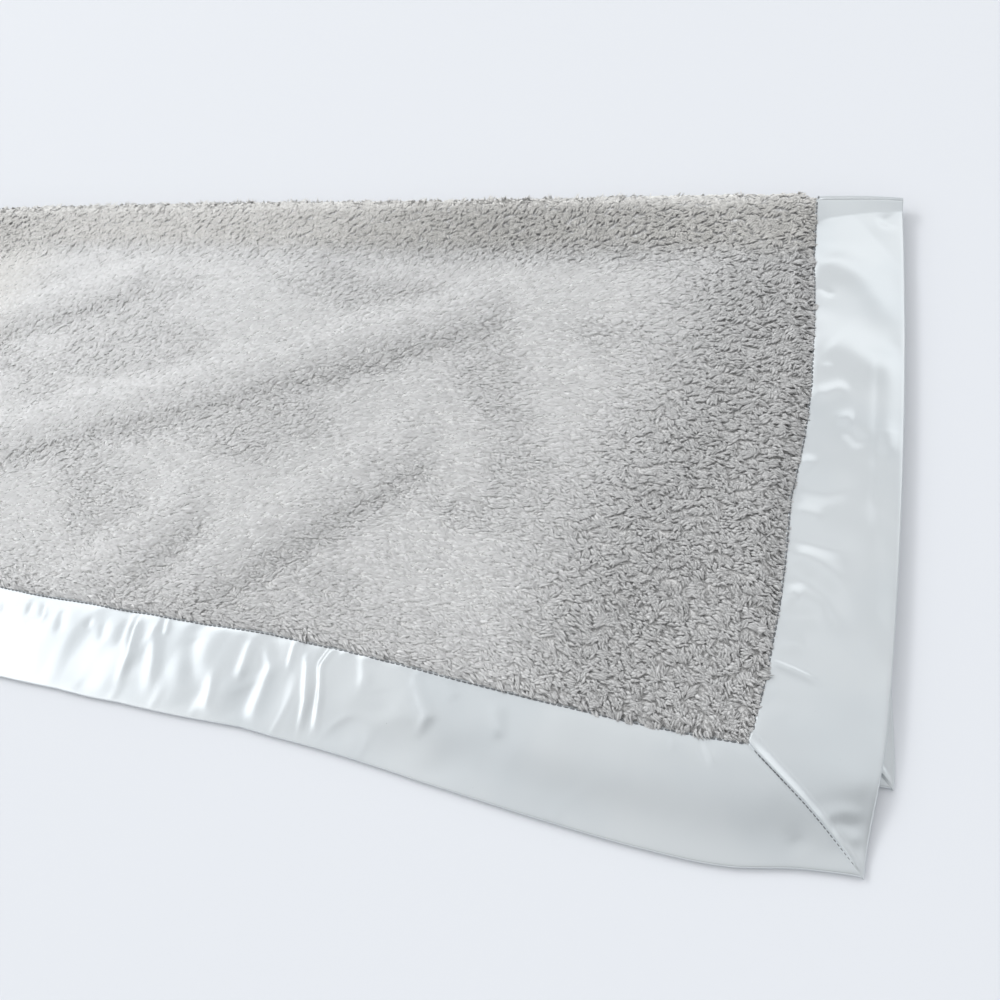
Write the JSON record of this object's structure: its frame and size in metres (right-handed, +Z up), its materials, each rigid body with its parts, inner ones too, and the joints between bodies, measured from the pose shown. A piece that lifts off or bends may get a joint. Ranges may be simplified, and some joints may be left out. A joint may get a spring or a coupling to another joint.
{
  "type": "baby blanket",
  "caption": "Grey plush baby blanket with a wide mitred satin binding, folded once along its length, whose upper leaf opens about the fold.",
  "frame": {"origin": "under the middle of the folded blanket, on the surface it lies on", "axes": "+X along the length towards the end seen in the picture, -Y towards the open hems, +Y towards the fold, +Z up"},
  "size_m": [1.0226, 0.4092, 0.0187],
  "materials": {
    "plush": "soft curly pile",
    "satin": "glossy satin weave",
    "thread": "fine twisted thread"
  },
  "bodies": {
    "lower_leaf": {"plush_outer_lower": "plush", "plush_inner_lower": "plush", "binding_hem_lower": "satin", "binding_left_lower": "satin", "binding_right_lower": "satin", "seam_thread_outer_lower": "thread", "seam_thread_inner_lower": "thread", "mitre_thread_left_lower": "thread", "mitre_thread_right_lower": "thread", "plush_outer_fold": "plush", "plush_inner_fold": "plush", "binding_left_fold": "satin", "binding_right_fold": "satin", "seam_thread_left_fold": "thread", "seam_thread_right_fold": "thread"},
    "upper_leaf": {"plush_outer_upper": "plush", "plush_inner_upper": "plush", "binding_hem_upper": "satin", "binding_left_upper": "satin", "binding_right_upper": "satin", "seam_thread_outer_upper": "thread", "seam_thread_inner_upper": "thread", "mitre_thread_left_upper": "thread", "mitre_thread_right_upper": "thread"}
  },
  "joints": [
    {"name": "unfold", "type": "hinge", "parent": "lower_leaf", "child": "upper_leaf", "pos_m": [0, 0.19685, 0.00815], "axis": [-1, 0, 0], "range_deg": [0, 180], "deforming": ["plush_outer_fold", "plush_inner_fold", "binding_left_fold", "binding_right_fold", "seam_thread_left_fold", "seam_thread_right_fold"]}
  ]
}
